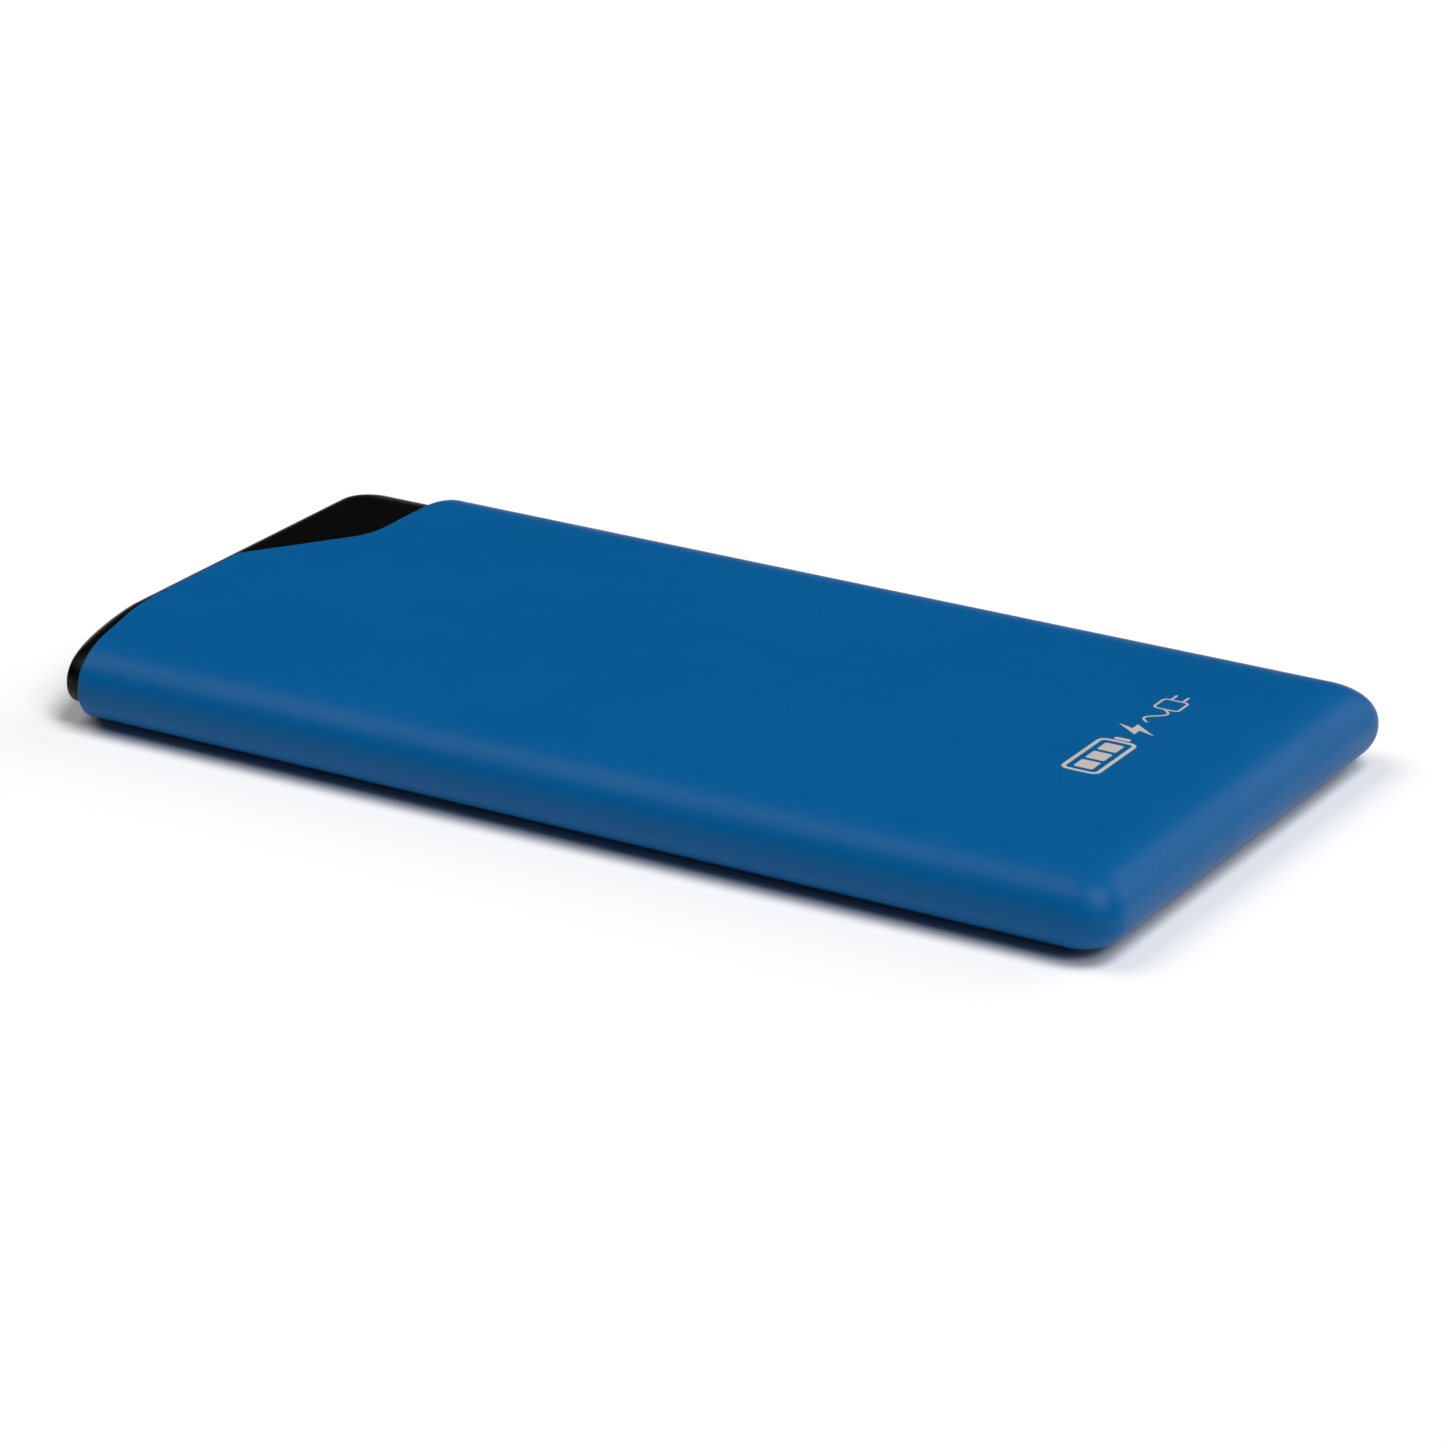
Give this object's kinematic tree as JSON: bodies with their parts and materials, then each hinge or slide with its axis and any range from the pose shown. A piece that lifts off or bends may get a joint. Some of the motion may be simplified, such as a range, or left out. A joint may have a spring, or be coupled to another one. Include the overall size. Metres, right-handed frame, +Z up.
{
  "type": "power bank",
  "caption": "Slim pocket battery pack: a rounded one-piece sleeve with a stepped mouth over a black end cap with charging sockets and a sprung power key.",
  "frame": {"origin": "middle of the underside, on the surface that the part rests on", "axes": "+X towards the sleeve's closed end, -X towards the sockets, +Y towards the side with the power key, +Z up through the thickness"},
  "size_m": [0.14, 0.072, 0.0099],
  "materials": {
    "sleeve_blue": "fine satin moulded shell, through-coloured blue",
    "cap_black": "satin black moulding",
    "chassis_black": "plain black moulding",
    "key_black": "satin black key",
    "switch_steel": "pressed steel switch can",
    "insulator_black": "glass-filled connector plastic",
    "diffuser": "milky clear light pipe",
    "led": "white ceramic LED body",
    "port_steel": "drawn steel, nickel plated",
    "contact_gold": "gold-flashed copper alloy",
    "board_green": "glass-epoxy board with solder mask",
    "screw_steel": "plated steel",
    "ferrite": "pressed ferrite",
    "chip_black": "moulded epoxy package",
    "ceramic": "sintered ceramic",
    "pouch_foil": "laminated aluminium pouch",
    "tape": "polyimide tape",
    "foam": "closed-cell foam",
    "nickel": "nickel strip",
    "lead_red": "silicone insulated wire",
    "lead_black": "silicone insulated wire"
  },
  "bodies": {
    "housing": {"outer_sleeve": "sleeve_blue", "end_cap": "cap_black", "chassis_tray": "chassis_black", "chassis_lid": "chassis_black", "tact_switch": "switch_steel", "light_pipe": "diffuser", "led_1": "led", "led_2": "led", "led_3": "led", "led_4": "led", "usb_a_shell": "port_steel", "usb_a_insulator": "insulator_black", "usb_a_contact_1": "contact_gold", "usb_a_contact_2": "contact_gold", "usb_a_contact_3": "contact_gold", "usb_a_contact_4": "contact_gold", "micro_usb_shell": "port_steel", "micro_usb_insulator": "insulator_black", "main_board": "board_green", "board_screw_1": "screw_steel", "board_screw_2": "screw_steel", "boost_inductor": "ferrite", "charge_controller": "chip_black", "boost_converter": "chip_black", "switching_mosfet_1": "chip_black", "switching_mosfet_2": "chip_black", "buffer_capacitor_1": "ceramic", "buffer_capacitor_2": "ceramic", "buffer_capacitor_3": "ceramic", "sense_resistor": "chip_black", "battery_cell": "pouch_foil", "adhesive_strip": "tape", "foam_pad": "foam", "end_pad": "foam", "protection_board": "board_green", "insulating_strip": "tape", "positive_tab": "nickel", "negative_tab": "nickel", "protection_chip": "chip_black", "protection_mosfet": "chip_black", "thermistor": "ceramic", "positive_lead": "lead_red", "negative_lead": "lead_black"},
    "key": {"power_key": "key_black", "switch_plunger": "insulator_black"}
  },
  "joints": [
    {"name": "key_press", "type": "slide", "parent": "housing", "child": "key", "axis": [0, -1, 0], "range_m": [0, 0.0003], "stiffness_N_per_m": 6000, "springref_m": -0.00008}
  ]
}
